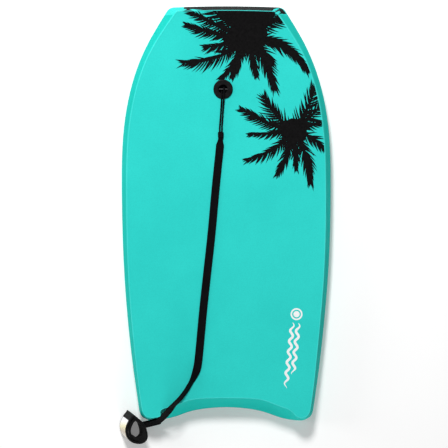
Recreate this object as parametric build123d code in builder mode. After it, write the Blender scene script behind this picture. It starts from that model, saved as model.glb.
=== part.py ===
"""Bodyboard with a leash plug and a wrist leash, lying on its slick bottom.

Frame: millimetres, +Z up, nose towards +Y, +X to the rider's right.
The origin is below the middle of the board, on the surface that it rests on.
"""

from math import asin, cos, degrees, hypot, pi, radians, sin, tan
import os

from build123d import *

# ---- board ----------------------------------------------------------------
half_length = 470.0
thickness = 52.0
rail_edge_z = 30.0  # height of the widest line, between the two chines
loft_top_z = 68.0  # the side faces run on above the deck, then the deck trims them
half_board_box = 260.0

# half width and Y of the widest line, from the nose corner to the tail
rail_line = [
    (134.5, 458.0),
    (178.5, 383.0),
    (213.2, 293.0),
    (230.6, 203.0),
    (236.4, 55.0),
    (229.2, -158.0),
    (208.6, -361.0),
]
rail_end = (196.8, -444.0)
rail_start_run = (0.53, -0.85)
rail_end_run = (-0.14, -0.99)
nose_crown = 2.5
nose_half_line = 117.0
tip_start = (176.0, -470.0)
tail_line = [(148.0, -468.6), (119.0, -462.2), (88.0, -451.4), (45.0, -442.8), (0.0, -440.0)]

deck_side_inset_nose = 15.0  # plan width of the upper chine at the nose and at the tail
deck_side_inset_tail = 6.5
deck_nose_inset = 8.5
tip_inset = 11.0  # how far the tail face leans in up to the deck, at the tips
tail_insets = [23.0, 30.0, 31.0, 28.0, 26.0]  # and at each point of tail_line
bottom_side_share = 0.9  # lower chine against upper chine
bottom_nose_inset = 8.0

rocker_start = 306.0
bottom_lift = 18.0  # at the nose
deck_lift = 10.0

deck_skin_t = 4.0
slick_t = 1.2
side_skin = 4.6  # plan thickness of the rail, nose and tail skins
nose_wrap_y = 449.0  # the deck skin wraps the nose ahead of this line
tail_strip_x = 181.0  # the tail strip ends here, at the rails

# ---- leash plug -----------------------------------------------------------
plug_x, plug_y = -7.0, 281.0
flange_r = 22.0
flange_t = 3.2
cup_r = 10.0
cup_floor_z = 40.0
column_r = 12.5
column_bottom_z = 30.0
stud_r = 5.0
stud_length = 6.0
post_r = 9.0
bottom_flange_t = 2.4
pin_r = 2.0
pin_z = 49.5

# ---- leash ----------------------------------------------------------------
string_d = 4.0
webbing_width = 18.0
webbing_t = 2.5
twist_d = 8.0  # the tube that stands for the webbing where it lies twisted
deck_gap = 0.2

string_route = [
    (-14.8, 184.5, 55.0),
    (-14.8, 196.0, 55.0),
    (-13.2, 213.0, 54.5),
    (-11.8, 232.0, 54.4),
    (-11.0, 247.0, 55.6),
    (-10.5, 257.0, 59.2),
    (-10.2, 269.0, 60.2),
    (-9.8, 276.0, 55.0),
    (-9.4, 276.6, 45.6),
    (-6.4, 284.9, 45.0),
    (-5.0, 286.0, 53.6),
    (-4.8, 279.5, 58.0),
    (-5.1, 267.5, 59.6),
    (-5.6, 257.0, 59.3),
    (-6.2, 247.0, 55.6),
    (-7.2, 232.0, 54.4),
    (-8.4, 213.0, 54.5),
    (-9.8, 196.0, 55.0),
    (-9.8, 184.5, 55.0),
]

sleeve_x, sleeve_front_y, sleeve_back_y = -12.3, 184.5, 170.8
sleeve_width = 13.0
sleeve_t = 5.6

webbing_deck_route = [
    (-12.8, 170.8),
    (-14.2, 150.0),
    (-18.6, 110.0),
    (-25.2, 45.0),
    (-33.0, -45.0),
    (-42.6, -130.0),
    (-52.0, -215.0),
    (-59.4, -298.0),
    (-64.2, -345.0),
]
webbing_tail_route = [
    (-64.2, -345.0, 56.6),
    (-71.5, -365.0, 57.0),
    (-81.0, -383.0, 57.4),
    (-91.5, -400.0, 57.6),
    (-104.0, -416.5, 59.4),
    (-118.5, -430.0, 60.6),
    (-130.5, -445.0, 55.5),
    (-142.5, -459.3, 42.0),
    (-154.0, -469.8, 27.0),
]

# ---- wrist cuff: a neoprene band that stands on its edge ---------------------
band_width = 46.0
band_t = 5.0
lean = (17.0, -7.8)  # how far the top rim stands off the bottom rim in plan
tape_room = 1.5  # between the band and the flap, for the two fastening tapes
hook_t = 0.7
loop_t = 0.5
label_t = 0.8
flap_margin = 1.0
tape_margin = 4.0
label_margin = 5.0
crease_gap = 0.3

# top rim, in plan
crease = (-208.5, -452.7)
flap_root = (-211.6, -457.0)
flap_line = [(-219.0, -467.0), (-225.9, -486.0), (-222.6, -504.5), (-211.5, -516.0), (-197.5, -520.2)]
band_open_line = [
    (-188.5, -518.6),
    (-180.2, -513.0),
    (-176.3, -504.0),
    (-177.6, -492.0),
    (-182.0, -479.0),
    (-189.5, -468.6),
]

tab_start = (-154.0, -469.8, 27.0)
tab_end = (-193.5, -479.5, 23.5)
tab_width = 18.0
tab_t = 5.0
tab_tilt = 42.0


def normals(points):
    """Unit normals to the left of a row of plan points."""
    found = []
    for i in range(len(points)):
        a, b = points[max(i - 1, 0)], points[min(i + 1, len(points) - 1)]
        run = hypot(b[0] - a[0], b[1] - a[1])
        found.append((-(b[1] - a[1]) / run, (b[0] - a[0]) / run))
    return found


def moved(points, amounts):
    """Plan points moved to the left of their line by amounts."""
    return [
        (p[0] + n[0] * d, p[1] + n[1] * d)
        for p, n, d in zip(points, normals(points), amounts)
    ]


def side_inset(y):
    """Plan width of the upper chine, which narrows towards the tail."""
    share = ((y + half_length) / (2 * half_length)) ** 0.6
    return deck_side_inset_tail + (deck_side_inset_nose - deck_side_inset_tail) * share


def board_plan(z, side_share, nose_inset, tail_share, skin=0.0):
    """The board's outline at one height, moved in by the chines and a skin."""
    tip_shift = tail_share * tip_inset + skin
    shift = rail_end_run[0] / rail_end_run[1] * tip_shift
    end = (rail_end[0] + shift, rail_end[1] + tip_shift)
    side = [*rail_line, end]
    rail = moved(side, [-side_share * side_inset(y) - skin for _, y in side])
    nose_x = nose_half_line - 0.5 * side_share * deck_side_inset_nose - 0.6 * skin
    nose_y = half_length - nose_inset - skin
    tip = (tip_start[0] - side_share * deck_side_inset_tail - skin, tip_start[1] + tip_shift)
    tail = [(x, y + tail_share * inset + skin) for (x, y), inset in zip(tail_line, tail_insets)]
    other = [(-x, y) for x, y in reversed(tail[:-1])]
    pieces = [
        ThreePointArc((-nose_x, nose_y - nose_crown), (0, nose_y), (nose_x, nose_y - nose_crown)),
        Spline((nose_x, nose_y - nose_crown), rail[0], tangents=((1, -0.05), rail_start_run)),
        Spline(*rail, tangents=(rail_start_run, rail_end_run)),
        Spline(rail[-1], tip, tangents=(rail_end_run, (-1, 0))),
        Spline(tip, *tail, *other, (-tip[0], tip[1]), tangents=((-1, 0), (-1, 0))),
        Spline((-tip[0], tip[1]), (-rail[-1][0], rail[-1][1]), tangents=((-1, 0), (rail_end_run[0], 0.99))),
        Spline(
            *[(-x, y) for x, y in reversed(rail)],
            tangents=((rail_end_run[0], 0.99), (rail_start_run[0], 0.85)),
        ),
        Spline(
            (-rail[0][0], rail[0][1]),
            (-nose_x, nose_y - nose_crown),
            tangents=((rail_start_run[0], 0.85), (1, 0.05)),
        ),
    ]
    # each piece stays its own edge, so the loft joins corners to corners at every height
    return Pos(0, 0, z) * Wire([piece.edge() for piece in pieces])


def board_hull(skin=0.0):
    """Everything inside the chines, the nose and the tail, before deck and bottom trim it."""
    rise = (loft_top_z - rail_edge_z) / (thickness - rail_edge_z)
    plans = [
        board_plan(0.0, bottom_side_share, bottom_nose_inset, 0.0, skin),
        board_plan(rail_edge_z, 0.0, 0.0, rail_edge_z / thickness, skin),
        board_plan(loft_top_z, rise, rise * deck_nose_inset, loft_top_z / thickness, skin),
    ]
    with BuildPart() as hull:
        add(Solid.make_loft(plans, ruled=True), clean=False)
    return hull.part


def rocker_radius(lift):
    """Radius of the nose curve that lifts a flat face by this much at the nose."""
    run = half_length - rocker_start
    return (run * run + lift * lift) / (2 * lift)


def side_profile(height, radius, far_z):
    """Everything between one long face of the board, flat then curved up, and a far plane."""
    tail_y = -half_length - 20.0
    sweep_angle = degrees(asin((half_length + 20.0 - rocker_start) / radius))
    with BuildPart() as region:
        with BuildSketch(Plane.YZ):
            with BuildLine():
                Line((tail_y, height), (rocker_start, height))
                curve = JernArc((rocker_start, height), (1, 0), radius, sweep_angle)
                Polyline(curve @ 1, ((curve @ 1).X, far_z), (tail_y, far_z), (tail_y, height))
            make_face()
        extrude(amount=half_board_box, both=True)
    return region.part


def trimmed(solid, keep=(), cut=()):
    """A solid kept inside some regions and outside others."""
    with BuildPart() as piece:
        add(solid)
        for region in keep:
            add(region, mode=Mode.INTERSECT)
        for region in cut:
            add(region, mode=Mode.SUBTRACT)
    return piece.part


def block(low, high):
    """An upright box between two corners."""
    size = [h - l for l, h in zip(low, high)]
    middle = tuple((h + l) / 2 for l, h in zip(low, high))
    with BuildPart() as box:
        with Locations(middle):
            Box(*size)
    return box.part


def upright_cylinder(radius, low_z, high_z):
    """A cylinder on the leash plug's axis."""
    with BuildPart() as cylinder:
        with BuildSketch(Plane.XY.offset(low_z)):
            with Locations((plug_x, plug_y)):
                Circle(radius)
        extrude(amount=high_z - low_z)
    return cylinder.part


def write(part, name):
    """Writes one piece to its own file."""
    part.label = name
    export_step(part, f"parts/{name}.step")


# ---- the board's laminate -----------------------------------------------------
def board_pieces():
    """Foam core, deck skin, rail skins, tail strip and slick, face to face."""
    bottom_r = rocker_radius(bottom_lift)
    deck_r = rocker_radius(deck_lift)
    below_bottom = side_profile(0.0, bottom_r, -20.0)
    slick_zone = side_profile(slick_t, bottom_r - slick_t, -20.0)
    above_deck = side_profile(thickness, deck_r, 110.0)
    deck_zone = side_profile(thickness - deck_skin_t, deck_r + deck_skin_t, 110.0)
    hull = board_hull()
    inner_hull = board_hull(side_skin)
    whole = trimmed(hull, cut=[below_bottom, above_deck])

    column = upright_cylinder(column_r, column_bottom_z, 80.0)
    post = upright_cylinder(post_r, -5.0, column_bottom_z)
    flange = upright_cylinder(flange_r, -5.0, bottom_flange_t)
    plug_room = [column, post, flange]

    ring = trimmed(whole, cut=[inner_hull, slick_zone, deck_zone])
    reach = half_board_box
    nose_zone = block((-reach, nose_wrap_y, -5), (reach, 500, 110))
    tail_zone = block((-tail_strip_x, -500, -5), (tail_strip_x, -300, 110))
    right_zone = block((0, -500, -5), (reach, 500, 110))
    left_zone = block((-reach, -500, -5), (0, 500, 110))

    nose_wrap = trimmed(ring, keep=[nose_zone])
    deck_sheet = trimmed(whole, keep=[deck_zone], cut=[column])
    with BuildPart() as deck:
        add(deck_sheet)
        add(nose_wrap)
    write(deck.part, "deck_skin")
    write(trimmed(whole, keep=[inner_hull], cut=[slick_zone, deck_zone, *plug_room]), "foam_core")
    write(trimmed(ring, keep=[right_zone], cut=[nose_zone, tail_zone]), "rail_skin_right")
    write(trimmed(ring, keep=[left_zone], cut=[nose_zone, tail_zone]), "rail_skin_left")
    write(trimmed(ring, keep=[tail_zone]), "tail_strip")
    write(trimmed(whole, keep=[slick_zone], cut=plug_room), "slick_bottom")


# ---- the leash plug -------------------------------------------------------------
def plug_pieces():
    """A flanged cup let into the deck, its cross pin, and the flanged nut below."""
    flange_top = thickness + flange_t
    with BuildPart() as cup:
        add(upright_cylinder(flange_r, thickness, flange_top))
        fillet(cup.edges().group_by(Axis.Z)[-1], 2.0)
        add(upright_cylinder(column_r, column_bottom_z, thickness))
        add(upright_cylinder(cup_r, cup_floor_z, flange_top), mode=Mode.SUBTRACT)
        lip = cup.edges().filter_by(GeomType.CIRCLE).filter_by_position(
            Axis.Z, flange_top, flange_top
        )
        fillet(lip.sort_by(SortBy.RADIUS)[0], 1.2)
        add(upright_cylinder(stud_r, column_bottom_z, column_bottom_z + stud_length), mode=Mode.SUBTRACT)
        with BuildSketch(Plane.YZ.offset(plug_x)):
            with Locations((plug_y, pin_z)):
                Circle(pin_r)
        extrude(amount=cup_r + 1.5, both=True, mode=Mode.SUBTRACT)
    write(cup.part, "leash_plug_cup")

    with BuildPart() as pin:
        with BuildSketch(Plane.YZ.offset(plug_x)):
            with Locations((plug_y, pin_z)):
                Circle(pin_r)
        extrude(amount=cup_r + 1.5, both=True)
    write(pin.part, "leash_plug_pin")

    with BuildPart() as nut:
        add(upright_cylinder(flange_r, 0.0, bottom_flange_t))
        add(upright_cylinder(post_r, 0.0, column_bottom_z))
        add(upright_cylinder(stud_r, column_bottom_z, column_bottom_z + stud_length))
    write(nut.part, "leash_plug_nut")


# ---- the leash --------------------------------------------------------------------
def tube(route, diameter, name):
    """A round tube along straight runs joined by arcs as large as the runs allow."""
    points = [Vector(*p) for p in route]
    radii = []
    for a, b, c in zip(points, points[1:], points[2:]):
        turn = (b - a).get_angle(c - b)
        radii.append(0.45 * min((b - a).length, (c - b).length) / tan(radians(turn) / 2))
    print(name, "radii", [round(r, 1) for r in radii])
    with BuildPart() as cord:
        with BuildLine() as path:
            FilletPolyline(*points, radius=radii)
        with BuildSketch(path.line ^ 0):
            Circle(diameter / 2)
        sweep()
    length = sum(edge.length for edge in path.line.edges())
    print(name, "length", round(length, 1), "volume / (section x length)",
          round(cord.part.volume / (length * pi * diameter**2 / 4), 4))
    return cord.part


def leash_pieces(twist):
    """The doubled string, the sleeve that holds it, and the webbing up to its twisted end."""
    write(tube(string_route, string_d, "leash_string"), "leash_string")

    sleeve_z = thickness + deck_gap + sleeve_t / 2
    with BuildPart() as sleeve:
        with BuildSketch(Plane((sleeve_x, sleeve_front_y, sleeve_z), x_dir=(1, 0, 0), z_dir=(0, -1, 0))):
            RectangleRounded(sleeve_width, sleeve_t, 1.8)
        extrude(amount=sleeve_front_y - sleeve_back_y)
    write(sleeve.part, "leash_string_sleeve")

    flat_points = [Vector(*p) for p in webbing_deck_route]
    radii = []
    for a, b, c in zip(flat_points, flat_points[1:], flat_points[2:]):
        turn = (b - a).get_angle(c - b)
        radii.append(0.45 * min((b - a).length, (c - b).length) / tan(radians(turn) / 2))
    print("webbing on the deck, radii", [round(r) for r in radii])
    with BuildPart() as webbing:
        with BuildSketch(Plane.XY.offset(thickness + deck_gap)):
            with BuildLine() as line:
                FilletPolyline(*flat_points, radius=radii)
            trace(line_width=webbing_width)
        extrude(amount=webbing_t)
        add(twist)
        add(block((-40, sleeve_back_y, 40), (20, sleeve_back_y + 10, 70)), mode=Mode.SUBTRACT)
    print("webbing length on the deck", round(sum(edge.length for edge in line.line.edges()), 1))
    write(webbing.part, "leash_webbing")


# ---- the cuff ------------------------------------------------------------------------
def leaned(face, low_z, high_z):
    """A prism that leans with the cuff, from a face drawn at the top rim."""
    below = (band_width - low_z) / band_width
    share = (high_z - low_z) / band_width
    run = Vector(lean[0] * share, lean[1] * share, high_z - low_z)
    with BuildPart() as prism:
        with BuildSketch(Plane((-lean[0] * below, -lean[1] * below, low_z))):
            add(face)
        extrude(amount=run.length, dir=run.normalized())
    return prism.part


def strip(near, far):
    """A face between two plan lines that run side by side."""
    with BuildSketch() as face:
        with BuildLine():
            Spline(*near)
            Spline(*far)
            Line(near[0], far[0])
            Line(near[-1], far[-1])
        make_face()
    return face.sketch


def flap_side(distance):
    """The flap's outer line, moved in towards the wrist."""
    line = [flap_root, *flap_line]
    return moved(line, [distance] * len(line))


def back_from(points, gap):
    """The same line, with its start drawn along it by a gap."""
    a, b = points[0], points[1]
    share = gap / hypot(b[0] - a[0], b[1] - a[1])
    return [(a[0] + (b[0] - a[0]) * share, a[1] + (b[1] - a[1]) * share), *points[1:]]


def band_face():
    """The closed band at its top rim: thin under the flap, with a crease at the corner."""
    under_flap = flap_side(band_t + tape_room)
    under_end = (under_flap[-1][0] + 1.0, under_flap[-1][1] - 0.3)
    step_top = (flap_line[-1][0] + 1.6, flap_line[-1][1] + 0.3)
    hole = flap_side(2 * band_t + tape_room)
    hole_start = (hole[0][0] + 1.0, hole[0][1] - 2.5)
    hole_turn = (hole[-1][0] - 2.0, hole[-1][1] - 0.6)
    opened = moved(band_open_line, [band_t] * len(band_open_line))[:-1]
    with BuildSketch() as face:
        with BuildLine():
            Polyline(crease, flap_root, under_flap[0])
            Spline(*under_flap[:-1], under_end)
            Line(under_end, step_top)
            Spline(step_top, *band_open_line)
            Line(band_open_line[-1], crease)
        make_face()
        with BuildLine():
            Spline(hole_start, *hole[1:-1], hole_turn, *opened)
            Line(opened[-1], hole_start)
        make_face(mode=Mode.SUBTRACT)
    return face.sketch


def cuff_pieces(twist):
    """The band, its flap with two fastening tapes, the label and the tab on the webbing's end."""
    band = leaned(band_face(), 0.0, band_width)
    flap_face = strip(back_from(flap_side(0.0), crease_gap), back_from(flap_side(band_t), crease_gap))
    flap = leaned(flap_face, flap_margin, band_width - flap_margin)
    hook_face = strip(flap_side(band_t - 1.0)[1:-1], flap_side(band_t + hook_t)[1:-1])
    loop_face = strip(
        flap_side(band_t + tape_room - loop_t)[1:-1], flap_side(band_t + tape_room + 1.0)[1:-1]
    )
    label_face = strip(flap_side(-label_t)[1:-1], flap_side(1.5)[1:-1])
    hook = leaned(hook_face, tape_margin, band_width - tape_margin)
    loop = leaned(loop_face, tape_margin, band_width - tape_margin)
    label = leaned(label_face, label_margin, band_width - label_margin)
    write(band, "cuff_band")
    write(flap, "cuff_flap")
    write(trimmed(hook, cut=[flap]), "cuff_hook_tape")
    write(trimmed(loop, cut=[band]), "cuff_loop_tape")
    write(trimmed(label, cut=[flap]), "cuff_label")

    start, end = Vector(*tab_start), Vector(*tab_end)
    along = end - start
    level = Vector(along.Y, -along.X, 0).normalized()
    rise = along.cross(level).normalized()
    rise = rise if rise.Z > 0 else rise * -1
    across = level * cos(radians(tab_tilt)) + rise * sin(radians(tab_tilt))
    with BuildPart() as tab:
        with BuildSketch(Plane(start, x_dir=across, z_dir=along)):
            RectangleRounded(tab_width, tab_t, 2.0)
        extrude(amount=along.length)
        add(band, mode=Mode.SUBTRACT)
        add(twist, mode=Mode.SUBTRACT)
    write(Part(tab.part.solids().sort_by(SortBy.VOLUME)[-1].wrapped), "leash_end_tab")

    hinge = Vector(lean[0], lean[1], band_width).normalized()
    print("hinge through", flap_root, "at the top rim, along", hinge)


if __name__ == "__main__":
    os.makedirs("parts", exist_ok=True)
    board_pieces()
    plug_pieces()
    twisted_end = tube(webbing_tail_route, twist_d, "webbing past the twist")
    leash_pieces(twisted_end)
    cuff_pieces(twisted_end)
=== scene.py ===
"""Looks of a bodyboard with a wrist leash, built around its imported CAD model.

Metres, +Z up, nose towards +Y. Plan lines and routes are written in millimetres.
"""
import math
import random

import bpy
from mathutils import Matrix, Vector
from mathutils.bvhtree import BVHTree
from mathutils.geometry import delaunay_2d_cdt


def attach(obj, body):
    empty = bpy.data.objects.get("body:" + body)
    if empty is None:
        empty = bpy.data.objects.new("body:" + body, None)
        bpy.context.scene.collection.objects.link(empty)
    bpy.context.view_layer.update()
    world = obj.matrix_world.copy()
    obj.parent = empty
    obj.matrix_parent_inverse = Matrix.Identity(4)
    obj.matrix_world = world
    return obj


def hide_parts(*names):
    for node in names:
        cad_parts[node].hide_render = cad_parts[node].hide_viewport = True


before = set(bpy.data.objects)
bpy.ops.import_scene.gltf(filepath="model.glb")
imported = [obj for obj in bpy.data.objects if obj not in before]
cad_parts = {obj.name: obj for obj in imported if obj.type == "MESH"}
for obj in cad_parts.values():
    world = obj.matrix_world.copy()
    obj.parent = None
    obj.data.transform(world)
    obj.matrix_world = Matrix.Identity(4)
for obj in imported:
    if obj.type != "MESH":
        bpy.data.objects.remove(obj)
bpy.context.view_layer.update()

MM = 0.001
TURN = 2 * math.pi
random.seed(11)

# ---- camera ---------------------------------------------------------------------
view_width = 1.0098  # what the camera sees across, at the deck's height
lens, sensor = 200.0, 36.0
deck_z = 0.052
far_clip = 50.0
camera_data = bpy.data.cameras.new("camera")
camera_data.lens = lens
camera_data.sensor_width = sensor
camera_data.clip_end = far_clip
camera = bpy.data.objects.new("camera", camera_data)
camera.location = (-0.005, -0.0227, deck_z + view_width * lens / sensor)
bpy.context.scene.collection.objects.link(camera)
bpy.context.scene.camera = camera
bpy.context.scene.view_settings.view_transform = "Standard"


# ---- small tools ------------------------------------------------------------------
def mesh_object(name, verts, faces, material, body="board", uv=None, smooth=True):
    """A mesh in metres that rides on a body. uv is one pair for each vertex."""
    mesh = bpy.data.meshes.new(name)
    mesh.from_pydata([tuple(v) for v in verts], [], faces)
    mesh.validate()
    mesh.update()
    for polygon in mesh.polygons:
        polygon.use_smooth = smooth
    if uv is not None:
        layer = mesh.uv_layers.new(name="UVMap")
        for loop in mesh.loops:
            layer.data[loop.index].uv = uv[loop.vertex_index]
    mesh.materials.append(material)
    obj = bpy.data.objects.new(name, mesh)
    bpy.context.scene.collection.objects.link(obj)
    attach(obj, body)
    return obj


def nurbs_line(points, steps=40):
    """Points of the smooth NURBS spline that has these control points, in metres."""
    curve = bpy.data.curves.new("route", "CURVE")
    curve.dimensions = "3D"
    spline = curve.splines.new("NURBS")
    spline.points.add(len(points) - 1)
    for point, p in zip(spline.points, points):
        point.co = (*(Vector(p) * MM), 1.0)
    spline.order_u = 3
    spline.use_endpoint_u = True
    spline.resolution_u = steps
    obj = bpy.data.objects.new("route", curve)
    bpy.context.scene.collection.objects.link(obj)
    bpy.context.view_layer.update()
    mesh = bpy.data.meshes.new_from_object(obj)
    line = [v.co.copy() for v in mesh.vertices]
    bpy.data.objects.remove(obj)
    bpy.data.curves.remove(curve)
    bpy.data.meshes.remove(mesh)
    return line


def even(points, step):
    """The same line with points an even step apart, and how far along each is."""
    lengths = [0.0]
    for a, b in zip(points, points[1:]):
        lengths.append(lengths[-1] + (b - a).length)
    count = max(2, round(lengths[-1] / step) + 1)
    found, along, i = [], [], 0
    for k in range(count):
        s = lengths[-1] * k / (count - 1)
        while i < len(points) - 2 and lengths[i + 1] < s:
            i += 1
        run = lengths[i + 1] - lengths[i]
        share = (s - lengths[i]) / run if run > 1e-12 else 0.0
        found.append(points[i].lerp(points[i + 1], min(max(share, 0.0), 1.0)))
        along.append(s)
    return found, along


def tangents(points, closed=False):
    """Unit direction of a line at each of its points."""
    n = len(points)
    found = []
    for i in range(n):
        a = points[(i - 1) % n] if closed else points[max(i - 1, 0)]
        b = points[(i + 1) % n] if closed else points[min(i + 1, n - 1)]
        found.append((b - a).normalized())
    return found


def smoothstep(a, b, x):
    t = min(max((x - a) / (b - a), 0.0), 1.0)
    return t * t * (3 - 2 * t)


def rings_to_faces(rings, size, closed=False, capped=True):
    """Quads between rings of the same size, with n-gon caps at open ends."""
    faces = []
    for i in range(rings if closed else rings - 1):
        a, b = i * size, (i + 1) % rings * size
        for j in range(size):
            k = (j + 1) % size
            faces.append((a + j, a + k, b + k, b + j))
    if capped and not closed:
        faces.append(tuple(range(size - 1, -1, -1)))
        faces.append(tuple((rings - 1) * size + j for j in range(size)))
    return faces


def through(points, per_span=24):
    """A smooth line through plan points (Catmull-Rom)."""
    pts = [Vector(p) for p in points]
    pts = [2 * pts[0] - pts[1], *pts, 2 * pts[-1] - pts[-2]]
    line = []
    for i in range(1, len(pts) - 2):
        p0, p1, p2, p3 = pts[i - 1 : i + 3]
        for k in range(per_span):
            t = k / per_span
            line.append(
                0.5 * (2 * p1 + (p2 - p0) * t + (2 * p0 - 5 * p1 + 4 * p2 - p3) * t * t
                       + (3 * p1 - p0 - 3 * p2 + p3) * t ** 3)
            )
    line.append(pts[-2].copy())
    return line


# ---- materials ------------------------------------------------------------------------
class Shade:
    """A Principled material whose colour, roughness and bump come from procedural nodes."""

    def __init__(self, name, rough=0.5, metallic=0.0, specular=0.5, coat=0.0, sheen=0.0):
        self.material = bpy.data.materials.new(name)
        self.material.use_nodes = True
        self.tree = self.material.node_tree
        self.shader = self.tree.nodes["Principled BSDF"]
        self.shader.inputs["Roughness"].default_value = rough
        self.shader.inputs["Metallic"].default_value = metallic
        self.shader.inputs["Specular IOR Level"].default_value = specular
        self.shader.inputs["Coat Weight"].default_value = coat
        self.shader.inputs["Sheen Weight"].default_value = sheen
        self.coords = self.tree.nodes.new("ShaderNodeTexCoord")
        self.normal = None

    def node(self, kind, **sockets):
        node = self.tree.nodes.new(kind)
        for name, value in sockets.items():
            self.put(node.inputs[name.replace("_", " ")], value)
        return node

    def put(self, socket, value):
        if isinstance(value, bpy.types.NodeSocket):
            self.tree.links.new(value, socket)
        else:
            socket.default_value = value

    def stretched(self, scale):
        """Object coordinates, scaled by a different amount along each axis."""
        mapping = self.node("ShaderNodeMapping", Vector=self.coords.outputs["Object"])
        mapping.inputs["Scale"].default_value = scale
        return mapping.outputs["Vector"]

    def noise(self, scale, detail=3.0, rough=0.5, at=None):
        node = self.node("ShaderNodeTexNoise", Scale=scale, Detail=detail, Roughness=rough)
        self.put(node.inputs["Vector"], at or self.coords.outputs["Object"])
        return node.outputs["Fac"]

    def cells(self, scale, at=None, feature="F1"):
        node = self.node("ShaderNodeTexVoronoi", Scale=scale)
        node.feature = feature
        self.put(node.inputs["Vector"], at or self.coords.outputs["Object"])
        return node.outputs["Distance"]

    def math(self, operation, a, b=0.0, c=0.0):
        node = self.tree.nodes.new("ShaderNodeMath")
        node.operation = operation
        for socket, value in zip(node.inputs, (a, b, c)):
            self.put(socket, value)
        return node.outputs[0]

    def span(self, value, low, high, out_low, out_high):
        node = self.node("ShaderNodeMapRange", Value=value)
        limits = {"From Min": low, "From Max": high, "To Min": out_low, "To Max": out_high}
        for name, number in limits.items():
            node.inputs[name].default_value = number
        return node.outputs["Result"]

    def ramp(self, value, *stops):
        node = self.node("ShaderNodeValToRGB", Fac=value)
        elements = node.color_ramp.elements
        while len(elements) < len(stops):
            elements.new(0.5)
        for element, (place, colour) in zip(elements, stops):
            element.position = place
            element.color = (*colour, 1.0)
        return node.outputs["Color"]

    def multiplied(self, a, b):
        """One colour times another."""
        node = self.tree.nodes.new("ShaderNodeMix")
        node.data_type = "RGBA"
        node.blend_type = "MULTIPLY"
        node.inputs["Factor"].default_value = 1.0
        colour_a, colour_b, result = node.inputs[6], node.inputs[7], node.outputs[2]
        self.put(colour_a, a)
        self.put(colour_b, b)
        return result

    def colour(self, value):
        self.put(self.shader.inputs["Base Color"], value)

    def roughness(self, value):
        self.put(self.shader.inputs["Roughness"], value)

    def bump(self, height, depth, strength=1.0):
        """Adds one layer of relief; depth is in metres."""
        node = self.tree.nodes.new("ShaderNodeBump")
        node.inputs["Strength"].default_value = strength
        node.inputs["Distance"].default_value = depth
        self.put(node.inputs["Height"], height)
        if self.normal is not None:
            self.tree.links.new(self.normal, node.inputs["Normal"])
        self.normal = node.outputs["Normal"]
        self.tree.links.new(self.normal, self.shader.inputs["Normal"])


def foam(name, dark, light, rough, grain):
    """Closed-cell foam sheet: pebbled skin, faint mottling and slow waves in its surface."""
    shade = Shade(name, specular=0.03)
    pebble = shade.cells(1.0 / grain, feature="SMOOTH_F1")
    pores = shade.noise(0.45 / grain, 4.0, 0.65)
    cloud = shade.noise(7.0, 4.0, 0.6)
    mottled = shade.ramp(cloud, (0.3, dark), (0.7, light))
    speck = shade.span(pores, 0.35, 0.7, 0.93, 1.03)
    grey = shade.ramp(speck, (0.0, (0, 0, 0)), (1.0, (1, 1, 1)))
    shade.colour(shade.multiplied(mottled, grey))
    shade.roughness(shade.span(pores, 0.3, 0.7, rough - 0.07, rough + 0.09))
    shade.bump(shade.noise(22.0, 2.0), 0.0012, 0.35)
    shade.bump(pores, grain * 0.25, 0.5)
    shade.bump(pebble, grain * 0.3, 0.5)
    return shade.material


def plastic(name, colour, rough, specular):
    """Moulded plastic: fine spark-erosion grain, slightly worn to a shine in places."""
    shade = Shade(name, specular=specular)
    wear = shade.noise(90.0, 5.0, 0.6)
    worn = tuple(c * 1.5 + 0.003 for c in colour)
    shade.colour(shade.ramp(wear, (0.35, colour), (0.75, worn)))
    shade.roughness(shade.span(wear, 0.3, 0.7, rough - 0.08, rough + 0.1))
    shade.bump(shade.noise(2600.0, 3.0), 0.00006, 0.6)
    return shade.material


deck_foam = foam("deck_foam", (0.028, 0.63, 0.575), (0.033, 0.685, 0.62), 0.52, 0.0011)
# the rails' foam is the deck's foam painted darker: painted shade for rails that slope away from the light
rail_foam = foam("rail_foam", (0.006, 0.49, 0.42), (0.009, 0.55, 0.475), 0.5, 0.0009)
# the tail strip's foam is the deck's foam painted a little darker: painted shade for the tail face, which
# slopes away from the light
tail_foam_painted_shade = foam("tail_foam_painted_shade", (0.008, 0.60, 0.52), (0.012, 0.66, 0.58), 0.5, 0.0009)
# the weld bead's foam is painted a lighter teal than the deck: a painted highlight along the deck's edge
weld_foam_painted_highlight = foam("weld_foam_painted_highlight", (0.05, 0.72, 0.66), (0.07, 0.78, 0.72), 0.35, 0.0006)


def bead_foam():
    """Moulded polystyrene beads, packed tight."""
    shade = Shade("core_foam", specular=0.3)
    beads = shade.cells(300.0)
    # each bead is painted lighter in its middle and darker towards its rim, where the hollows between beads
    # lie: painted shade in those hollows
    shade.colour(shade.ramp(beads, (0.0, (0.85, 0.85, 0.83)), (0.6, (0.62, 0.62, 0.6))))
    shade.roughness(shade.span(beads, 0.0, 0.6, 0.5, 0.75))
    shade.bump(shade.math("MULTIPLY", beads, -1.0), 0.0008, 0.8)
    return shade.material


def slick_sheet():
    """Pressed polyethylene sheet: smooth, with long faint draw lines and a little orange peel."""
    shade = Shade("slick_sheet", specular=0.5, coat=0.15)
    lines = shade.noise(60.0, 3.0, 0.5, at=shade.stretched((9.0, 0.35, 1.0)))
    cloud = shade.noise(5.0, 3.0)
    shade.colour(shade.ramp(cloud, (0.3, (0.60, 0.62, 0.62)), (0.7, (0.68, 0.70, 0.70))))
    shade.roughness(shade.span(lines, 0.3, 0.7, 0.22, 0.36))
    shade.bump(shade.noise(120.0, 2.0), 0.0004, 0.25)
    shade.bump(lines, 0.0001, 0.5)
    return shade.material


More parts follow.
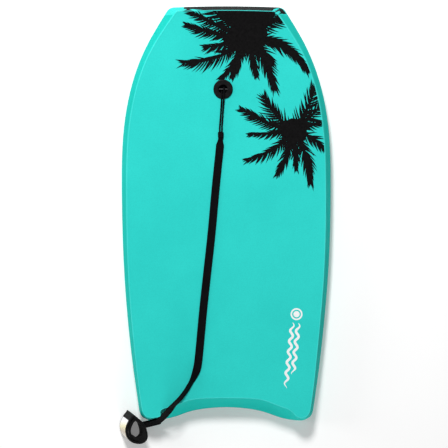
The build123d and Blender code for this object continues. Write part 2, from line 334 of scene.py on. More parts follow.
def print_ink(name, colour, rough):
    """Screen-printed ink that takes the foam's grain."""
    shade = Shade(name, specular=0.04)
    patches = shade.noise(240.0, 4.0, 0.6)
    faded = tuple(min(1.0, c * 1.3 + 0.004) for c in colour)
    shade.colour(shade.ramp(patches, (0.3, colour), (0.8, faded)))
    shade.roughness(shade.span(patches, 0.3, 0.7, rough - 0.08, rough + 0.08))
    shade.bump(shade.cells(900.0, feature="SMOOTH_F1"), 0.00025, 0.5)
    return shade.material


def woven(name, colour, along=0.0021, across=0.0012, source="UV"):
    """Woven polyester: a two-up, two-down twill. along and across are its repeats in metres."""
    shade = Shade(name, specular=0.05)
    split = shade.node("ShaderNodeSeparateXYZ")
    shade.tree.links.new(shade.coords.outputs[source], split.inputs[0])
    u, v = split.outputs[0], split.outputs[1]
    rows = shade.math("SINE", shade.math("MULTIPLY", v, TURN / across))
    slant = shade.math("ADD", shade.math("MULTIPLY", u, TURN / along),
                       shade.math("MULTIPLY", shade.math("ABSOLUTE", v), TURN / (2 * across)))
    picks = shade.math("SINE", slant)
    height = shade.math("MULTIPLY_ADD", rows, 0.4, shade.math("MULTIPLY", picks, 0.6))
    fibre = shade.noise(3500.0, 4.0, 0.7)
    worn = shade.noise(35.0, 4.0, 0.6)
    # the raised threads are painted lighter than the hollows, a painted highlight on the weave's crests; the
    # worn noise adds real wear on top
    light = tuple(c * 2.2 + 0.002 for c in colour)
    shine = shade.math("MULTIPLY_ADD", height, 0.25, worn)
    shade.colour(shade.ramp(shine, (0.25, colour), (0.95, light)))
    shade.roughness(shade.span(worn, 0.3, 0.7, 0.5, 0.68))
    shade.bump(height, 0.00022, 0.8)
    shade.bump(fibre, 0.00006, 0.6)
    return shade.material


def neoprene():
    """Nylon-faced neoprene: a fine jersey knit over soft foam."""
    shade = Shade("cuff_neoprene", specular=0.1, sheen=0.03)
    knit = shade.cells(1500.0, at=shade.stretched((1.0, 1.0, 0.55)))
    soft = shade.noise(60.0, 4.0, 0.6)
    shade.colour(shade.ramp(soft, (0.3, (0.0020, 0.0020, 0.0024)), (0.75, (0.0055, 0.0055, 0.006))))
    shade.roughness(shade.span(soft, 0.3, 0.7, 0.55, 0.75))
    shade.bump(soft, 0.0006, 0.4)
    shade.bump(knit, 0.00025, 0.7)
    return shade.material


def tape(name, colour, scale, depth):
    """One half of a hook and loop fastener."""
    shade = Shade(name, specular=0.2, sheen=0.4)
    pile = shade.noise(scale, 5.0, 0.75)
    # the pile is painted lighter where it stands highest: a painted highlight on the fibre tips
    pile_tip_highlight = tuple(c * 3 + 0.008 for c in colour)
    shade.colour(shade.ramp(pile, (0.3, colour), (0.75, pile_tip_highlight)))
    shade.roughness(shade.span(pile, 0.3, 0.7, 0.65, 0.9))
    shade.bump(pile, depth, 1.0)
    return shade.material


def label_film():
    """A blank satin transfer film. Its colour runs from dark grey at its tail end through cream, brown-beige
    and yellow to pale silver at its nose end: painted shade and sheen round the cuff's curve.
    """
    shade = Shade("label_film", rough=0.25, specular=0.5, coat=0.4)
    split = shade.node("ShaderNodeSeparateXYZ")
    shade.tree.links.new(shade.coords.outputs["Object"], split.inputs[0])
    drift = shade.math("MULTIPLY_ADD", shade.noise(45.0, 3.0), 0.012, split.outputs[1])
    tail_end_y, nose_end_y = -0.512, -0.462
    place = shade.span(drift, tail_end_y, nose_end_y, 0.0, 1.0)
    # colour set by place along the film: painted shade and sheen, dark at the tail end and light at the nose
    # end
    shade.colour(shade.ramp(
        place, (0.0, (0.42, 0.42, 0.36)), (0.25, (0.62, 0.58, 0.47)), (0.5, (0.52, 0.43, 0.31)),
        (0.75, (0.80, 0.74, 0.42)), (1.0, (0.88, 0.88, 0.90))))
    shade.roughness(shade.span(shade.noise(300.0, 3.0), 0.3, 0.7, 0.18, 0.34))
    shade.bump(shade.noise(160.0, 3.0), 0.0004, 0.5)
    return shade.material


def brushed_metal():
    """Dull stainless pin with fine lines round it."""
    shade = Shade("plug_pin_metal", metallic=1.0, rough=0.4)
    lines = shade.noise(700.0, 3.0, 0.6, at=shade.stretched((0.05, 1.0, 1.0)))
    shade.colour(shade.ramp(lines, (0.3, (0.02, 0.02, 0.021)), (0.7, (0.05, 0.05, 0.051))))
    shade.roughness(shade.span(lines, 0.3, 0.7, 0.35, 0.5))
    shade.bump(lines, 0.00003, 0.6)
    return shade.material


black_plastic = plastic("plug_plastic", (0.0025, 0.0025, 0.0028), 0.42, 0.12)
black_ink = print_ink("print_black", (0.0030, 0.0028, 0.0030), 0.5)
white_ink = print_ink("print_white", (0.86, 0.88, 0.88), 0.45)
webbing_fabric = woven("leash_webbing_weave", (0.0015, 0.0015, 0.0020))
cord_fabric = woven("leash_cord_braid", (0.0020, 0.0020, 0.0025), 0.0016, 0.0016, source="Object")
cuff_fabric = neoprene()
hook_fabric = tape("fastening_hook", (0.006, 0.006, 0.006), 1500.0, 0.0003)
loop_fabric = tape("fastening_loop", (0.008, 0.008, 0.008), 900.0, 0.0006)
thread = woven("sewing_thread", (0.012, 0.012, 0.013), 0.0008, 0.0006, source="Object")
label_shade = label_film()

# ---- CAD nodes that keep their own shape ------------------------------------------------
for node_name, node_material in (
    ("deck_skin", deck_foam),
    ("rail_skin_left", rail_foam),
    ("rail_skin_right", rail_foam),
    ("tail_strip", tail_foam_painted_shade),
    ("foam_core", bead_foam()),
    ("slick_bottom", slick_sheet()),
    ("leash_plug_cup", black_plastic),
    ("leash_plug_nut", black_plastic),
    ("leash_plug_pin", brushed_metal()),
):
    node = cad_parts[node_name]
    node.data.materials.clear()
    node.data.materials.append(node_material)

# ---- leash string --------------------------------------------------------------------------
string_route = [
    (-14.8, 184.5, 55.0), (-14.8, 196.0, 55.0), (-13.2, 213.0, 54.5), (-11.8, 232.0, 54.4),
    (-11.0, 247.0, 55.6), (-10.5, 257.0, 59.2), (-10.2, 269.0, 60.2), (-9.8, 276.0, 55.0),
    (-9.4, 276.6, 45.6), (-6.4, 284.9, 45.0), (-5.0, 286.0, 53.6), (-4.8, 279.5, 58.0),
    (-5.1, 267.5, 59.6), (-5.6, 257.0, 59.3), (-6.2, 247.0, 55.6), (-7.2, 232.0, 54.4),
    (-8.4, 213.0, 54.5), (-9.8, 196.0, 55.0), (-9.8, 184.5, 55.0),
]
string_d = 4.0 * MM


def braided(name, route, diameter, material):
    """A round cord whose surface is a braid of eight strands each way."""
    sides, strands, lay, step = 24, 8, 3.6 * MM, 0.45 * MM
    path, along = even(nurbs_line(route), step)
    ways = tangents(path)
    across = ways[0].cross(Vector((0, 0, 1))).normalized()
    verts = []
    for point, way, s in zip(path, ways, along):
        across = (across - way * across.dot(way)).normalized()
        up = across.cross(way)
        for j in range(sides):
            a = TURN * j / sides
            left = math.cos(strands / 2 * a + TURN * s / lay)
            right = math.cos(strands / 2 * a - TURN * s / lay)
            radius = diameter / 2 * (0.95 + 0.035 * left + 0.035 * right)
            verts.append(point + (across * math.cos(a) + up * math.sin(a)) * radius)
    obj = mesh_object(name, verts, rings_to_faces(len(path), sides), material)
    return obj, path


string, string_path = braided("leash_string_braid", string_route, string_d, cord_fabric)
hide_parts("leash_string")

# ---- leash webbing ----------------------------------------------------------------------------
webbing_route = [
    (-12.8, 170.8, 54.0), (-14.2, 150.0, 53.5), (-18.6, 110.0, 53.5), (-25.2, 45.0, 53.5),
    (-33.0, -45.0, 53.5), (-42.6, -130.0, 53.5), (-52.0, -215.0, 53.5), (-59.4, -298.0, 53.6),
    (-64.2, -345.0, 54.2), (-71.5, -365.0, 57.6), (-81.0, -383.0, 60.2), (-91.5, -400.0, 60.9),
    (-104.0, -416.5, 61.6), (-118.5, -430.0, 62.2), (-130.5, -445.0, 55.5), (-142.5, -459.3, 42.0),
    (-154.0, -469.8, 27.0),
]
webbing_width, webbing_t = 18.0 * MM, 2.0 * MM


def strap_section(half_width, half_t):
    """Outline of a woven tape: flat faces, with a rolled selvedge at each edge."""
    points = 15
    outline = []
    for face in (1, -1):
        for i in range(points):
            x = face * (-1 + 2 * i / (points - 1))
            swell = 1.0 + 0.22 * math.exp(-(((abs(x) - 0.86) / 0.09) ** 2))
            outline.append((x * half_width * 0.97, face * half_t * swell))
        outline.append((face * half_width, face * half_t * 0.5))
        outline.append((face * half_width, -face * half_t * 0.5))
    return outline


def strap(name, path, along, roll, half_width, half_t, material):
    """A woven tape along a path. roll, half_width and half_t are functions of the distance along it."""
    rib_height, rib_pitch = 0.05 * MM, 1.8 * MM
    verts, uv, size = [], [], 0
    for point, way, s in zip(path, tangents(path), along):
        up0 = (Vector((0, 0, 1)) - way * way.z).normalized()
        side0 = way.cross(up0)
        angle = roll(s)
        up = up0 * math.cos(angle) + side0 * math.sin(angle)
        side = way.cross(up)
        wave = rib_height * math.sin(TURN * s / rib_pitch)
        outline = strap_section(half_width(s), half_t(s) + wave)
        size = len(outline)
        for x, z in outline:
            verts.append(point + side * x + up * z)
            uv.append((s, x))
    return mesh_object(name, verts, rings_to_faces(len(path), size), material, uv=uv)


strap_step = 0.6 * MM
kink_y, fold_y = -0.338, -0.428  # where the strap turns onto its edge, and where it leaves the deck
webbing_path, webbing_along = even(nurbs_line(webbing_route), strap_step)
kink = next(s for p, s in zip(webbing_path, webbing_along) if p.y < kink_y)
fold = next(s for p, s in zip(webbing_path, webbing_along) if p.y < fold_y)


def webbing_roll(s):
    """Flat on the deck, then half on its edge past the kink, and a little flatter down the tail."""
    stand = math.radians(-57) * smoothstep(kink - 0.004, kink + 0.050, s)
    return stand + math.radians(17) * smoothstep(fold, fold + 0.02, s)


webbing = strap(
    "leash_webbing_strap", webbing_path, webbing_along, webbing_roll,
    lambda s: webbing_width / 2 * (0.6 + 0.4 * smoothstep(0.002, 0.018, s)),
    lambda s: webbing_t / 2 * (1.5 - 0.5 * smoothstep(0.0, 0.02, s)),
    webbing_fabric,
)
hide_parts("leash_webbing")


def gather():
    """The webbing's start, folded narrow and sewn round the string's two ends."""
    x0, front, back = -12.3, 185.2, 166.0
    deck_clear_z = 52.15
    rings, size = 40, 48
    verts, uv = [], []
    for i in range(rings):
        y = front + (back - front) * i / (rings - 1)
        neck = smoothstep(0.45, 0.95, i / (rings - 1))
        ends = min(1.0, 0.55 + 0.45 * math.sin(math.pi * min(1.0, (i + 0.6) / 5) / 2))
        half_w = (6.5 - 1.1 * neck) * ends
        half_t = (2.7 - 0.9 * neck) * ends
        for j in range(size):
            a = TURN * j / size
            c, s = math.cos(a), math.sin(a)
            x = half_w * math.copysign(abs(c) ** 0.55, c)
            z = half_t * math.copysign(abs(s) ** 0.6, s)
            fold_depth = 0.32 * math.cos(x * TURN / 2.9 + 0.4 * math.sin(y * 0.6)) * abs(s)
            z += fold_depth * (1 if s > 0 else -0.3)
            centre_z = 55.0 - 0.9 * neck
            verts.append(Vector((x0 + x - 0.2 * neck, y, max(centre_z + z, deck_clear_z))) * MM)
            uv.append((y * MM, x * MM))
    return mesh_object("leash_gathered_end", verts, rings_to_faces(rings, size), webbing_fabric,
                       uv=uv)


sleeve = gather()
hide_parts("leash_string_sleeve")


def stitch_row(name, points, outs, body="board", length=2.6 * MM, gap=1.1 * MM):
    """A row of sewn stitches along a line; outs point off the cloth."""
    radius, step = 0.36 * MM, 0.3 * MM
    line, along = even(points, step)
    out_line = []
    for k in range(len(line)):
        share = k / (len(line) - 1) * (len(outs) - 1)
        i = min(int(share), len(outs) - 2) if len(outs) > 1 else 0
        out_line.append(outs[i].lerp(outs[min(i + 1, len(outs) - 1)], share - i).normalized())
    verts, faces = [], []
    s = gap / 2
    rings, size = 5, 6
    while s + length < along[-1]:
        base = len(verts)
        for r in range(rings):
            t = r / (rings - 1)
            k = min(len(line) - 1, round((s + length * t) / step))
            way = (line[min(k + 1, len(line) - 1)] - line[max(k - 1, 0)]).normalized()
            out = out_line[k]
            side = way.cross(out).normalized()
            fat = radius * (0.35 + 0.65 * math.sin(math.pi * (0.12 + 0.76 * t)))
            lift = radius * (0.9 * math.sin(math.pi * t) - 0.25)
            for j in range(size):
                a = TURN * j / size
                rise = lift + fat * 0.8 * math.sin(a)
                verts.append(line[k] + out * rise + side * fat * math.cos(a))
        for r in range(rings - 1):
            for j in range(size):
                a, b = base + r * size + j, base + r * size + (j + 1) % size
                faces.append((a, b, b + size, a + size))
        faces.append(tuple(base + j for j in range(size - 1, -1, -1)))
        faces.append(tuple(base + (rings - 1) * size + j for j in range(size)))
        s += length + gap
    return mesh_object(name, verts, faces, thread, body)


# bar tacks across the gathered end
for k, y in enumerate((180.5, 177.5, 174.5)):
    row = [Vector((-12.3 + x, y, 57.85 - 0.035 * x * x)) * MM for x in (-5.2, -2.6, 0.0, 2.6, 5.2)]
    stitch_row(f"gather_stitches_{k}", row, [Vector((0, 0, 1))] * 5,
                                  length=1.9 * MM, gap=0.5 * MM)

# ---- tab at the webbing's end --------------------------------------------------------------------
tab_start, tab_end = Vector((-149.5, -468.4, 27.4)) * MM, Vector((-193.5, -479.5, 23.5)) * MM
tab_tilt = math.radians(-42)
tab_path, tab_along = even([tab_start, tab_end], strap_step)
tab = strap(
    "leash_sewn_tab", tab_path, tab_along, lambda s: tab_tilt,
    lambda s: 9.0 * MM * (0.93 + 0.07 * smoothstep(0.0, 0.003, s)),
    lambda s: 2.35 * MM * (0.75 + 0.25 * smoothstep(0.0, 0.004, s)),
    webbing_fabric,
)
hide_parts("leash_end_tab")
tab_way = (tab_end - tab_start).normalized()
tab_up0 = (Vector((0, 0, 1)) - tab_way * tab_way.z).normalized()
tab_side0 = tab_way.cross(tab_up0)
tab_up = tab_up0 * math.cos(tab_tilt) + tab_side0 * math.sin(tab_tilt)
tab_side = tab_way.cross(tab_up)


def on_tab(s, x):
    """A point on the tab's upper face."""
    return tab_start + tab_way * s * MM + tab_side * x * MM + tab_up * 2.45 * MM


near, far, edge = 4, 28, 6.6  # the sewn box, along and across the tab
corners = [on_tab(near, -edge), on_tab(far, -edge), on_tab(far, edge), on_tab(near, edge)]
tab_rows = [stitch_row("tab_stitches_box", [*corners, corners[0]], [tab_up] * 5),
            stitch_row("tab_stitches_cross_1", [corners[0], corners[2]], [tab_up] * 2),
            stitch_row("tab_stitches_cross_2", [corners[1], corners[3]], [tab_up] * 2)]

# ---- cuff -------------------------------------------------------------------------------------------
band_width, band_t, tape_room = 46.0, 5.0, 1.5
lean = Vector((17.0, -7.8))
crease, flap_root = (-208.5, -452.7), (-211.6, -457.0)
flap_line = [(-219.0, -467.0), (-225.9, -486.0), (-222.6, -504.5), (-211.5, -516.0), (-197.5, -520.2)]
band_open_line = [(-188.5, -518.6), (-180.2, -513.0), (-176.3, -504.0), (-177.6, -492.0),
                  (-182.0, -479.0), (-189.5, -468.6)]


def moved(points, distance):
    """Plan points moved to the left of their line."""
    pts = [Vector(p) for p in points]
    ways = tangents(pts)
    return [p + Vector((-w.y, w.x)) * distance for p, w in zip(pts, ways)]


def flap_side(distance):
    return moved([flap_root, *flap_line], distance)


def at_height(point, z):
    """A plan point of the top rim, carried down the leaning cuff to height z, in metres."""
    shift = lean * ((band_width - z) / band_width)
    return Vector((point.x - shift.x, point.y - shift.y, z)) * MM


def loop_points(points, count):
    """Evenly spaced points round a closed plan line that starts at its corner."""
    closed = [*points, points[0]]
    step = sum((b - a).length for a, b in zip(closed, closed[1:])) / count
    found, _ = even(closed, step)
    return found[:count]


def wall(name, outer, inner, low, high, swell_out, swell_in, material, body, closed, rim=2.2):
    """Sewn cloth between two plan lines. swell_out and swell_in give each face's relief in mm."""
    rows = 34
    verts = []
    count = len(outer)
    size = 0
    for i, (a, b) in enumerate(zip(outer, inner)):
        across = b - a
        thick = across.length
        across = across.normalized()
        r = min(rim, thick * 0.48)
        outline = []
        for k in range(rows):
            outline.append((0.0, low + r + (high - low - 2 * r) * k / (rows - 1), 1))
        for k in range(1, 5):
            t = math.pi / 2 * k / 5
            outline.append((r - r * math.cos(t), high - r + r * math.sin(t), 0))
        outline.append((r, high, 0))
        outline.append((thick / 2, high, 0))
        outline.append((thick - r, high, 0))
        for k in range(1, 5):
            t = math.pi / 2 * k / 5
            outline.append((thick - r + r * math.sin(t), high - r + r * math.cos(t), 0))
        for k in range(rows):
            outline.append((thick, high - r - (high - low - 2 * r) * k / (rows - 1), -1))
        for k in range(1, 5):
            t = math.pi / 2 * k / 5
            outline.append((thick - r + r * math.cos(t), low + r - r * math.sin(t), 0))
        outline.append((thick - r, low, 0))
        outline.append((thick / 2, low, 0))
        outline.append((r, low, 0))
        for k in range(1, 5):
            t = math.pi / 2 * k / 5
            outline.append((r - r * math.sin(t), low + r - r * math.cos(t), 0))
        size = len(outline)
        share = i / count
        for x, z, face in outline:
            edge = min(z - low, high - z)
            if face == 1:
                x -= swell_out(share, edge)
            elif face == -1:
                x += swell_in(share, edge)
            verts.append(at_height(a + across * x, z))
    return mesh_object(name, verts, rings_to_faces(count, size, closed), material, body)


def quilted(edge, binding=0.35, groove=0.5, pad=0.55):
    """Relief across the band: a bound rim, the stitch groove, then a soft swell in the middle."""
    bound = binding * smoothstep(1.5, 2.4, edge) * (1 - smoothstep(4.0, 4.6, edge))
    dip = -groove * math.exp(-(((edge - 5.0) / 0.55) ** 2))
    return bound + dip + pad * smoothstep(5.4, 13.0, edge)


round_count = 300  # points round the band
under_flap = flap_side(band_t + tape_room)
hole = flap_side(2 * band_t + tape_room)
opened = moved(band_open_line, band_t)[:-1]
outer_line = loop_points(
    [Vector(crease), Vector(flap_root), *through([*under_flap[:-1], under_flap[-1] + Vector((1.0, -0.3))]),
     *through([Vector(flap_line[-1]) + Vector((1.6, 0.3)), *band_open_line])], round_count)
inner_line = loop_points(
    through([hole[0] + Vector((1.0, -2.5)), *hole[1:-1], hole[-1] + Vector((-2.0, -0.6)), *opened]),
    round_count)

covered = 0.53  # share of the outer line that the flap covers

band = wall(
    "cuff_band_neoprene", outer_line, inner_line, 0.0, band_width,
    lambda share, edge: quilted(edge) if share > covered + 0.02 else 0.0,
    lambda share, edge: quilted(edge, 0.2, 0.45, 0.4),
    cuff_fabric, "board", True,
)
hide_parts("cuff_band")

flap_step = 0.75
# the cloth starts just clear of the crease
root_gap = (Vector(flap_line[0]) - Vector(flap_root)).normalized() * 0.5


def matched(line, count):
    """As many points of a line as its partner has."""
    last = len(line) - 1
    return [line[min(last, round(i * last / (count - 1)))] for i in range(count)]


flap_outer, _ = even(through(flap_side(0.0)), flap_step)
count = len(flap_outer)
flap_inner = matched(even(through(flap_side(band_t)), flap_step)[0], count)
flap_outer = [p + root_gap * (1 - i / count) for i, p in enumerate(flap_outer)]
flap_inner = [p + root_gap * (1 - i / count) for i, p in enumerate(flap_inner)]
flap = wall(
    "cuff_flap_neoprene", flap_outer, flap_inner, 1.0, band_width - 1.0,
    lambda share, edge: quilted(edge, 0.3, 0.4, 0.0), lambda share, edge: 0.0,
    cuff_fabric, "flap", False,
)
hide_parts("cuff_flap")


def flat(share, edge):
    """No relief."""
    return 0.0


def pressed(share, edge):
    """The pressed line round the label's rim."""
    return -0.25 * math.exp(-(((edge - 1.6) / 0.4) ** 2))


def patch(name, out_by, in_by, low, high, relief, material, body, rim):
    """A thin layer that follows the flap between its root and its tip."""
    out_line, _ = even(through(flap_side(out_by)[1:-1]), flap_step)
    in_line, _ = even(through(flap_side(in_by)[1:-1]), flap_step)
    return wall(name, out_line, matched(in_line, len(out_line)), low, high, relief, flat,
                material, body, False, rim=rim)


label = patch("cuff_label_film", -0.8, 0.1, 5.0, 41.0, pressed, label_shade, "flap", 0.35)
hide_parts("cuff_label")
hook = patch("cuff_hook_strip", 4.9, 5.45, 4.0, 42.0, flat, hook_fabric, "flap", 0.2)
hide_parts("cuff_hook_tape")
loop = patch("cuff_loop_strip", 6.05, 6.55, 4.0, 42.0, flat, loop_fabric, "board", 0.2)
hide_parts("cuff_loop_tape")


def hook_pile():
    """Rows of small hooks that stand on the hook tape's inner face."""
    rows, lowest, pitch = 24, 5.2, 1.54
    line, _ = even(through(flap_side(5.4)[1:-1]), 1.5)
    ways = tangents(line)
    verts, faces = [], []
    for point, way in zip(line, ways):
        inward = Vector((-way.y, way.x))
        for k in range(rows):
            z = lowest + pitch * k
            base = len(verts)
            for step, (lift, drop) in enumerate(((0.0, 0.0), (0.26, 0.0), (0.3, 0.34))):
                fat = 0.16 - 0.03 * step
                for ax, az in ((-fat, -fat), (fat, -fat), (0.0, fat)):
                    spot = point + inward * lift + way * (ax + drop)
                    verts.append(at_height(spot, z + az))
            for step in range(2):
                for j in range(3):
                    a, b = base + step * 3 + j, base + step * 3 + (j + 1) % 3
                    faces.append((a, b, b + 3, a + 3))
            faces.append((base + 2, base + 1, base))
            faces.append((base + 6, base + 7, base + 8))
    return mesh_object("cuff_hook_pile", verts, faces, hook_fabric, "flap", smooth=False)


hooks = hook_pile()


def rim_stitches(name, line, sign, z, off, body):
    """Stitches along one rim of the cuff, off the face on the side of sign."""
    ways = tangents(line)
    outs2 = [Vector((w.y, -w.x)) * sign for w in ways]
    points = [at_height(p + o * off, z) for p, o in zip(line, outs2)]
    return stitch_row(name, points, [Vector((o.x, o.y, 0)) for o in outs2], body)


start = int(round_count * (covered + 0.03))
cuff_rows, flap_rows = [], []
for rim, z, flap_z in (("low", 5.0, 3.7), ("high", band_width - 5.0, band_width - 3.7)):
    cuff_rows.append(
        rim_stitches(f"band_stitches_out_{rim}", outer_line[start:-12], 1, z, -0.35, "board"))
    cuff_rows.append(
        rim_stitches(f"band_stitches_in_{rim}", inner_line[4:-4], -1, z, -0.3, "board"))
    flap_rows.append(
        rim_stitches(f"flap_stitches_{rim}", flap_outer[3:-3], 1, flap_z, 0.0, "flap"))

# ---- the deck's edge: a heat-welded bead, its lighter teal a painted highlight ----------------------
deck_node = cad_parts["deck_skin"]
deck_tree = BVHTree.FromPolygons(
    [v.co.copy() for v in deck_node.data.vertices], [tuple(p.vertices) for p in deck_node.data.polygons])


def deck_outline():
    """The closed line round the deck's upper face, in order."""
    mesh = deck_node.data
    edges, spots = {}, {}

    def key(v):
        return tuple(round(c * 1e5) for c in mesh.vertices[v].co)

    for polygon in mesh.polygons:
        if polygon.normal.z < 0.97 or polygon.center.z < deck_z - 0.001:
            continue
        ids = [key(v) for v in polygon.vertices]
        for v, k in zip(polygon.vertices, ids):
            spots[k] = mesh.vertices[v].co.copy()
        for a, b in zip(ids, ids[1:] + ids[:1]):
            pair = (min(a, b), max(a, b))
            edges[pair] = edges.get(pair, 0) + 1
    near = {}
    for (a, b), n in edges.items():
        if n == 1 and a != b:
            near.setdefault(a, []).append(b)
            near.setdefault(b, []).append(a)
    loops = []
    while near:
        first = next(iter(near))
        chain, at = [first], first
        while True:
            options = near.get(at, [])
            if not options:
                break
            following = options.pop()
            near[following].remove(at)
            if not near[at]:
                del near[at]
            at = following
            if at == first:
                break
            chain.append(at)
        near.pop(first, None)
        loops.append([spots[k] for k in chain])
    return max(loops, key=lambda line: sum((b - a).length for a, b in zip(line, line[1:])))


outline = deck_outline()


def weld_bead():
    """A low round bead along the deck's edge; its lighter teal is a painted highlight."""
    closed = [*outline, outline[0]]
    path, _ = even(closed, 2.0 * MM)
    path = path[:-1]
    n = len(path)
    for _ in range(2):
        path = [(path[i - 1] + path[i] * 2 + path[(i + 1) % n]) / 4 for i in range(n)]
    ways = tangents(path, closed=True)
    size = 10
    verts = []
    for point, way in zip(path, ways):
        side = way.cross(Vector((0, 0, 1))).normalized()
        up = side.cross(way).normalized()
        for j in range(size):
            a = TURN * j / size
            rise = 0.6 * MM * math.sin(a) - 0.25 * MM
            verts.append(point + side * 0.75 * MM * math.cos(a) + up * rise)
    return mesh_object("deck_edge_weld", verts, rings_to_faces(n, size, closed=True), weld_foam_painted_highlight)


weld_bead()


# ---- prints -------------------------------------------------------------------------------------------
def leaf(base, way, length, width, bend):
    """A pointed leaflet."""
    side = Vector((-way.y, way.x))
    stations = ((0.0, 0.8), (0.3, 1.0), (0.62, 0.66), (0.85, 0.3), (1.0, 0.0))

    def rim(t, half):
        return base + way * length * t + side * (half + bend * length * t * t)

    left = [rim(t, width / 2 * w) for t, w in stations]
    right = [rim(t, -width / 2 * w) for t, w in stations[:-1]]
    return [*left, *reversed(right)]


def turned(vector, angle):
    """A plan vector turned anticlockwise."""
    c, s = math.cos(angle), math.sin(angle)
    return Vector((vector.x * c - vector.y * s, vector.x * s + vector.y * c))


def frond(crown, tip, bend, reach):
    """A palm frond: a curved rib from the crown to the tip, with leaflets along both sides."""
    droop, gap = 0.22, 6.6  # how far the leaflets hang, and how far apart they are
    a, b = Vector(crown), Vector(tip)
    run = b - a
    middle = (a + b) / 2 + Vector((-run.y, run.x)) * bend
    shapes, steps = [], max(8, round(run.length / gap))
    rib_left, rib_right = [], []
    for i in range(steps + 1):
        t = 0.93 * i / steps
        spot = a * (1 - t) ** 2 + middle * 2 * t * (1 - t) + b * t * t
        way = ((middle - a) * 2 * (1 - t) + (b - middle) * 2 * t).normalized()
        side = Vector((-way.y, way.x))
        rib = 5.0 * (1 - t) ** 1.5 + 1.1
        rib_left.append(spot + side * rib)
        rib_right.append(spot - side * rib)
        if t < 0.10:
            continue
        full = math.sin(math.pi * (0.20 + 0.68 * t)) ** 0.6
        for hand in (1, -1):
            length = reach * 1.85 * full * random.uniform(0.78, 1.2)
            lean_out = math.radians(54 - 27 * t) * random.uniform(0.85, 1.15)
            direction = turned(way, hand * lean_out)
            direction = (direction + Vector((0, -droop * random.uniform(0.5, 1.5)))).normalized()
            width = gap * random.uniform(0.58, 0.78)
            shapes.append(leaf(spot, direction, length, width, -hand * 0.14))
    for k in range(5):
        direction = turned(way, math.radians(-16 + 8 * k) * random.uniform(0.8, 1.2))
        shapes.append(leaf(spot, direction, reach * random.uniform(0.6, 1.1), 2.2, 0.0))
    for i in range(steps):
        shapes.append([rib_left[i], rib_right[i], rib_right[i + 1], rib_left[i + 1]])
    return shapes


def crown_mass(centre, radii):
    """A ragged oval."""
    count = 26
    shape = []
    for k in range(count):
        a = TURN * k / count
        arm = Vector((radii[0] * math.cos(a), radii[1] * math.sin(a)))
        shape.append(Vector(centre) + arm * random.uniform(0.86, 1.12))
    return shape


# each frond: its tip, how far its rib bows, and its leaflets' reach
near_palm = [
    ((-96, 428), 0.10, 14), ((-92, 462), 0.06, 13), ((-66, 488), 0.0, 20), ((0, 515), 0.0, 28),
    ((62, 520), 0.0, 28), ((118, 500), 0.0, 26), ((146, 446), 0.06, 17), ((188, 316), 0.30, 18),
    ((166, 352), 0.22, 15), ((110, 279), 0.16, 20), ((68, 310), 0.05, 15), ((12, 306), 0.05, 14),
    ((-16, 303), 0.16, 14), ((-104, 342), 0.24, 18), ((-50, 376), 0.12, 15), ((104, 338), 0.1, 18),
]
far_palm = [
    ((30, 240), 0.12, 14), ((84, 266), 0.14, 19), ((204, 297), -0.10, 19), ((226, 258), -0.06, 17),
    ((224, 209), 0.0, 11), ((226, 142), 0.16, 15), ((190, 67), 0.14, 18), ((158, 98), 0.04, 12),
    ((112, 86), 0.10, 14), ((42, 122), 0.20, 15), ((48, 180), 0.05, 10),
]
near_crown, far_crown = (44, 398), (152, 188)
# solid ink over the nose, which stops just short of the board's widest line
nose_rim = [Vector((x, 467.2 + 2.5 * (1 - (x / 117) ** 2))) for x in range(-95, 118, 4)]
nose_band = [*nose_rim, *(Vector(p) for p in (
    (121, 466.3), (126, 463.6), (130, 460.2), (133, 456.5), (136, 452.0), (124, 451.5), (112, 455),
    (104, 434), (-14, 436), (-18, 457), (-60, 461), (-96, 463)))]
shapes = [crown_mass(near_crown, (50, 34)), crown_mass(far_crown, (34, 27)),
          nose_band, crown_mass((52, 432), (48, 30))]
for crown, fronds in ((near_crown, near_palm), (far_crown, far_palm)):
    for tip, bend, reach in fronds:
        shapes.extend(frond(crown, tip, bend, reach))

# the ink ends here: the deck's edge and the nose
deck_plan = [Vector((p.x, p.y)) / MM for p in outline]


def inside(point, polygon):
    """Whether a plan point is inside a closed line."""
    hit = False
    j = len(polygon) - 1
    for i in range(len(polygon)):
        a, b = polygon[i], polygon[j]
        if (a.y > point.y) != (b.y > point.y):
            if point.x < (b.x - a.x) * (point.y - a.y) / (b.y - a.y) + a.x:
                hit = not hit
        j = i
    return hit


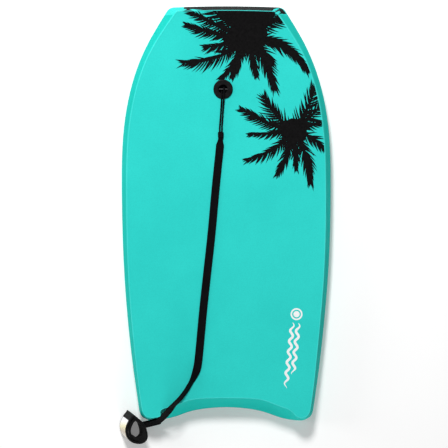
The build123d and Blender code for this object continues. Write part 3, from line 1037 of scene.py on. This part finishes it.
def film(name, shapes, material, nose=False):
    """Flat shapes joined into one ink layer, cut at the deck's edge and laid on the foam.

    nose lets the ink run on over the nose, where the deck skin wraps it.
    """
    nose_wrap_y, ink_lift, ink_t = 449.5, 0.14 * MM, 0.12 * MM
    points, faces = [], []
    for shape in shapes:
        first = len(points)
        area = sum(a.cross(b) for a, b in zip(shape, [*shape[1:], shape[0]]))
        points.extend(shape if area > 0 else reversed(shape))
        faces.append(list(range(first, len(points))))
    border = len(points)
    points.extend(deck_plan)
    edges = [(border + i, border + (i + 1) % len(deck_plan)) for i in range(len(deck_plan))]
    plan, _, tris, _, _, sources = delaunay_2d_cdt(points, edges, faces, 0, 1e-4)
    verts, kept, used = [], [], {}
    for tri, source in zip(tris, sources):
        if not source:
            continue
        centre = (plan[tri[0]] + plan[tri[1]] + plan[tri[2]]) / 3
        on_deck = inside(centre, deck_plan)
        if not on_deck and not (nose and centre.y > nose_wrap_y):
            continue
        corners = []
        for v in tri:
            key = (v, on_deck)
            if key not in used:
                spot = plan[v].lerp(centre, 0.02)
                above = Vector((spot.x * MM, spot.y * MM, 0.2))
                hit, normal, _, _ = deck_tree.ray_cast(above, Vector((0, 0, -1)))
                used[key] = None if hit is None else len(verts)
                if hit is not None:
                    if normal.z < 0:
                        normal = -normal
                    verts.append(Vector((plan[v].x * MM, plan[v].y * MM, hit.z)) + normal * ink_lift)
            corners.append(used[key])
        if None not in corners and len(set(corners)) == 3:
            kept.append(tuple(corners))
    obj = mesh_object(name, verts, kept, material, smooth=False)
    thicken = obj.modifiers.new("thickness", "SOLIDIFY")
    thicken.thickness = ink_t
    thicken.offset = -1.0


film("deck_print_palms", shapes, black_ink, nose=True)


def wave_mark():
    """A plain white sign along the right rail: a sun disc over two rows of waves."""
    top, bottom = Vector((160.0, -212.0)), Vector((140.0, -396.0))
    down = (bottom - top).normalized()
    side = Vector((-down.y, down.x))
    shapes = []
    sun = top + down * 14

    def ring(r, n=40):
        return [sun + Vector((math.cos(TURN * k / n), math.sin(TURN * k / n))) * r for k in range(n)]

    outer, inner = ring(13.5), ring(10.0)
    for k in range(len(outer)):
        m = (k + 1) % len(outer)
        shapes.append([outer[k], outer[m], inner[m], inner[k]])
    shapes.append(ring(7.0))
    steps, height, wave = 90, 3.6, 24.0
    for offset, start, end in ((-6.5, 34.0, 182.0), (6.5, 34.0, 150.0)):
        left, right = [], []
        for k in range(steps + 1):
            t = k / steps
            d = start + (end - start) * t
            phase = TURN * (d - start) / wave
            swing = height * math.sin(phase)
            slope = height * TURN / wave * math.cos(phase)
            across = (side - down * slope).normalized()
            half = 2.8 * min(1.0, 0.25 + 6 * t, 0.12 + 6 * (1 - t))
            spot = top + down * d + side * (offset + swing)
            left.append(spot + across * half)
            right.append(spot - across * half)
        for k in range(steps):
            shapes.append([left[k], left[k + 1], right[k + 1], right[k]])
    return shapes


film("deck_print_wave_mark", wave_mark(), white_ink)

# ---- floor and light -------------------------------------------------------------------------------------
floor_shade = Shade("floor", rough=0.85, specular=0.1)
cloud = floor_shade.noise(3.0)
floor_shade.colour(floor_shade.ramp(cloud, (0.3, (0.90, 0.90, 0.90)), (0.7, (0.93, 0.93, 0.93))))
floor_shade.shader.inputs["Emission Color"].default_value = (1, 1, 1, 1)
floor_shade.shader.inputs["Emission Strength"].default_value = 0.17  # a light table under the board
floor_mesh = bpy.data.meshes.new("floor")
floor_radius, floor_corners = 7, 64
floor_mesh.from_pydata(
    [(floor_radius * math.cos(TURN * k / floor_corners), floor_radius * math.sin(TURN * k / floor_corners), 0)
     for k in range(floor_corners)],
    [], [tuple(range(floor_corners))])
floor_mesh.materials.append(floor_shade.material)
floor = bpy.data.objects.new("floor", floor_mesh)
bpy.context.scene.collection.objects.link(floor)

world = bpy.data.worlds.new("studio")
bpy.context.scene.world = world
world.use_nodes = True
sky = world.node_tree.nodes["Background"]
sky.inputs["Color"].default_value = (1, 1, 1, 1)
sky.inputs["Strength"].default_value = 0.23


def area_light(name, towards, size, power):
    """A soft round light that points at the board's middle."""
    distance = 4.0
    data = bpy.data.lights.new(name, "AREA")
    data.shape = "DISK"
    data.size = size
    data.energy = power
    light = bpy.data.objects.new(name, data)
    direction = Vector(towards).normalized()
    light.location = direction * distance
    light.rotation_euler = direction.to_track_quat("Z", "Y").to_euler()
    bpy.context.scene.collection.objects.link(light)


area_light("key", (-0.12, 0.66, 0.74), 0.9, 145.0)
area_light("left_fill", (-0.92, 0.1, 0.30), 1.8, 40.0)
area_light("tail_fill", (0.05, -0.95, 0.22), 1.6, 44.0)
